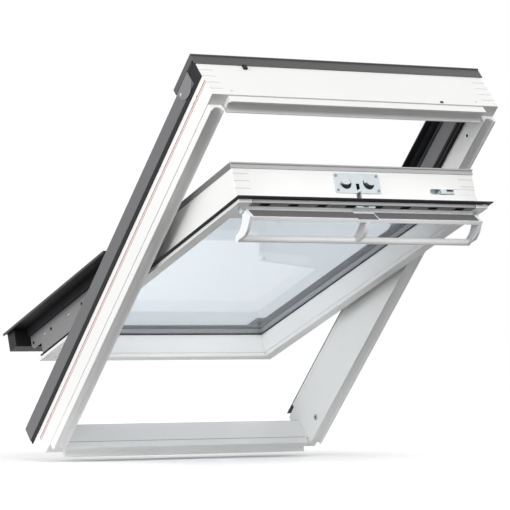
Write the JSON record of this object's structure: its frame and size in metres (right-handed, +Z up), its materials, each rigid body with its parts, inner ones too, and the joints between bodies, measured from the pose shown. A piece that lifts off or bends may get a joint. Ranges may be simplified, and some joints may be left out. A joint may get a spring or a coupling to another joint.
{
  "type": "centre-pivot roof window",
  "caption": "Roof window with a white timber frame and a centre-pivot double glazed sash, grey outer covers, ventilation flap with handle bar, lock and barrel bolt.",
  "frame": {"origin": "middle of the bottom rail's lower face", "axes": "+X to the right seen from the room, +Z up, +Y towards the outside; the window leans back at a 45 degree roof pitch, so its own slope runs along (0, -1, 1)"},
  "size_m": [0.793, 1.1435, 0.9433],
  "materials": {
    "white_timber": "white polyurethane coat, satin",
    "grey_lacquer": "grey lacquered aluminium, satin",
    "grey_aluminium": "matt anodised",
    "black_rubber": "black rubber",
    "zinc_steel": "bright zinc plate",
    "clear_glass": "clear double glazing",
    "grey_spacer": "matt mill finish",
    "white_plastic": "white moulded plastic",
    "white_aluminium": "white powder coat",
    "black_plastic": "black moulded plastic",
    "grey_filter": "dark grey filter fleece"
  },
  "bodies": {
    "frame": {"frame_top_rail": "white_timber", "frame_bottom_rail": "white_timber", "frame_left_jamb": "white_timber", "frame_right_jamb": "white_timber", "frame_top_cover": "grey_lacquer", "frame_left_cover": "grey_lacquer", "frame_right_cover": "grey_lacquer", "frame_bottom_cover": "grey_lacquer", "frame_side_gaskets": "black_rubber", "cover_tabs": "grey_lacquer", "tab_screws": "zinc_steel", "top_clips": "black_plastic", "upper_side_covers": "grey_lacquer", "upper_side_seals": "black_rubber", "jamb_stop_plates": "grey_lacquer", "jamb_stop_gaskets": "black_rubber", "pivot_guides": "zinc_steel", "guide_screws": "zinc_steel", "bolt_bushes": "zinc_steel", "striker": "zinc_steel"},
    "sash": {"sash_top_rail": "white_timber", "sash_bottom_rail": "white_timber", "sash_left_stile": "white_timber", "sash_right_stile": "white_timber", "inner_pane": "clear_glass", "vent_profile": "grey_aluminium", "lock_body": "black_plastic", "bolt_channel": "zinc_steel", "wing_seals": "black_rubber", "outer_pane": "clear_glass", "glass_spacer": "grey_spacer", "inner_glazing_seal": "black_rubber", "outer_glazing_seal": "black_rubber", "sash_top_cover": "grey_lacquer", "sash_left_cover": "grey_lacquer", "sash_right_cover": "grey_lacquer", "sash_left_wing": "grey_lacquer", "sash_right_wing": "grey_lacquer", "sash_bottom_cover": "grey_lacquer", "sash_tail_profile": "black_plastic", "sash_side_plates": "grey_lacquer", "plate_screws": "zinc_steel", "sash_gasket": "black_rubber", "pivot_arms": "zinc_steel", "lock_plate": "zinc_steel", "lock_screws": "zinc_steel", "latch_pin": "zinc_steel", "bolt_housing": "white_plastic", "lock_case": "white_plastic", "flap_rod": "zinc_steel"},
    "flap": {"vent_flap": "white_aluminium", "flap_filter": "grey_filter", "handle_bar": "white_aluminium", "handle_ends": "white_plastic", "handle_bracket": "white_plastic"},
    "bolt": {"barrel_bolt": "zinc_steel", "bolt_knob": "zinc_steel"},
    "latch": {"lock_latch": "zinc_steel"}
  },
  "joints": [
    {"name": "sash_pivot", "type": "hinge", "parent": "frame", "child": "sash", "pos_m": [0, -0.35992, 0.47305], "axis": [1, 0, 0], "range_deg": [-25, 138.5]},
    {"name": "flap_hinge", "type": "hinge", "parent": "sash", "child": "flap", "pos_m": [0, -0.86251, 0.55116], "axis": [1, 0, 0], "range_deg": [-50, 10]},
    {"name": "bolt_slide", "type": "slide", "parent": "sash", "child": "bolt", "axis": [1, 0, 0], "range_m": [0, 0.014]},
    {"name": "latch_turn", "type": "hinge", "parent": "sash", "child": "latch", "pos_m": [0, -0.83772, 0.59588], "axis": [1, 0, 0], "range_deg": [-22.2, 5.2]}
  ],
  "couplings": [
    {"joint": "latch_turn", "follows": "flap_hinge", "ratio": 0.44}
  ]
}
